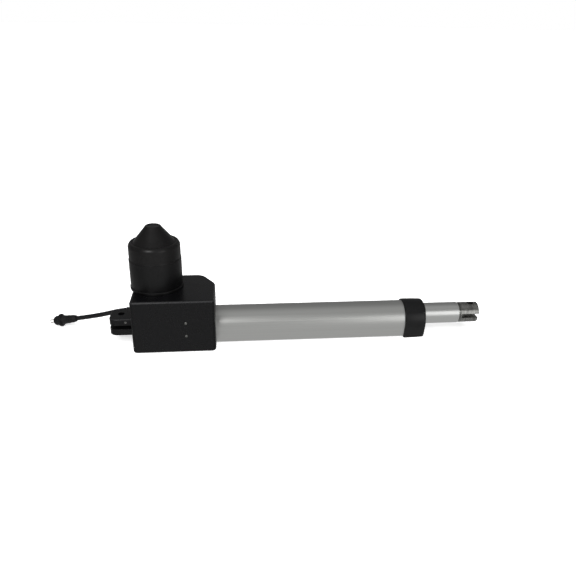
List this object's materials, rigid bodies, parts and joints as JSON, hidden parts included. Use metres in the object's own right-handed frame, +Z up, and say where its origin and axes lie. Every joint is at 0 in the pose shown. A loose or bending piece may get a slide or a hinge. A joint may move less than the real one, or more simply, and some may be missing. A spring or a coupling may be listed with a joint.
{
  "type": "linear actuator",
  "caption": "Electric linear actuator: motor over a worm gearbox drives a screw that slides a round tube with a fork end out of an arched aluminium profile; rear fork lug and cord.",
  "frame": {"origin": "centre of the rear pin bore, on the lead screw's axis", "axes": "+X along the screw towards the fork end, +Z up along the rear pin, the cord leaves on the +Y side"},
  "size_m": [0.8308, 0.1352, 0.2186],
  "materials": {
    "black_casting": "satin black painted die-cast aluminium",
    "black_plastic": "fine-grained matt black moulding",
    "soft_black": "soft matt black moulding",
    "anodised": "satin anodised aluminium",
    "bright_tube": "ground and plated steel",
    "bright_steel": "bright plated steel",
    "turned_steel": "turned steel",
    "motor_zinc": "zinc plated sheet",
    "fastener_steel": "dark steel",
    "bronze": "worm wheel bronze",
    "copper": "enamelled copper",
    "ferrite": "sintered ferrite",
    "white_plastic": "natural acetal",
    "board": "green laminate",
    "cord_black": "matt black cord jacket",
    "plated_brass": "plated brass contact"
  },
  "bodies": {
    "gearbox": {"gearbox_housing": "black_casting", "bottom_cover": "black_casting", "bottom_cover_screws": "fastener_steel", "rear_clevis": "black_casting", "clevis_bolts": "fastener_steel", "clevis_set_screw": "bright_steel", "rear_screw_bearing": "turned_steel", "front_screw_bearing": "turned_steel", "worm_shaft_bearings": "turned_steel", "motor_mount_plate": "anodised", "motor_mount_screws": "fastener_steel", "motor_can": "motor_zinc", "motor_magnets": "ferrite", "brush_end_bell": "black_plastic", "brush_holder": "board", "carbon_brushes": "ferrite", "cover_base_ring": "black_plastic", "motor_cover": "black_plastic", "motor_hood": "soft_black", "terminal_board": "board", "terminal_block": "board", "board_spacers": "board", "board_screws": "bright_steel", "outer_tube": "anodised", "body_screws": "fastener_steel", "rear_buffer": "soft_black", "stop_tube": "white_plastic", "guide_bush": "white_plastic", "wiper_seal": "soft_black", "end_cap": "black_plastic", "end_cap_screws": "fastener_steel", "cable_gland": "soft_black", "supply_cord": "cord_black", "plug_body": "cord_black", "plug_collar": "cord_black", "plug_nose": "cord_black", "plug_pins": "plated_brass"},
    "motor_rotor": {"motor_shaft": "turned_steel", "armature_core": "turned_steel", "armature_windings": "copper", "commutator": "copper", "worm": "turned_steel"},
    "screw": {"lead_screw": "turned_steel", "worm_wheel": "bronze", "wheel_key": "turned_steel", "wheel_circlip": "turned_steel", "screw_end_guide": "white_plastic"},
    "rod": {"drive_nut": "white_plastic", "nut_grub_screws": "fastener_steel", "inner_tube": "bright_tube", "fork_end": "bright_steel"}
  },
  "joints": [
    {"name": "rod_slide", "type": "slide", "parent": "gearbox", "child": "rod", "axis": [1, 0, 0], "range_m": [0, 0.3]},
    {"name": "screw_spin", "type": "hinge", "parent": "gearbox", "child": "screw", "pos_m": [0.0675, 0, 0], "axis": [1, 0, 0], "range_deg": [-27000, 0]},
    {"name": "motor_spin", "type": "hinge", "parent": "gearbox", "child": "motor_rotor", "pos_m": [0.0675, 0.027, 0], "axis": [0, 0, 1], "range_deg": [0, 432000]}
  ],
  "couplings": [
    {"joint": "screw_spin", "follows": "rod_slide", "rad_per_m": -1570.8},
    {"joint": "motor_spin", "follows": "rod_slide", "rad_per_m": 25133}
  ]
}
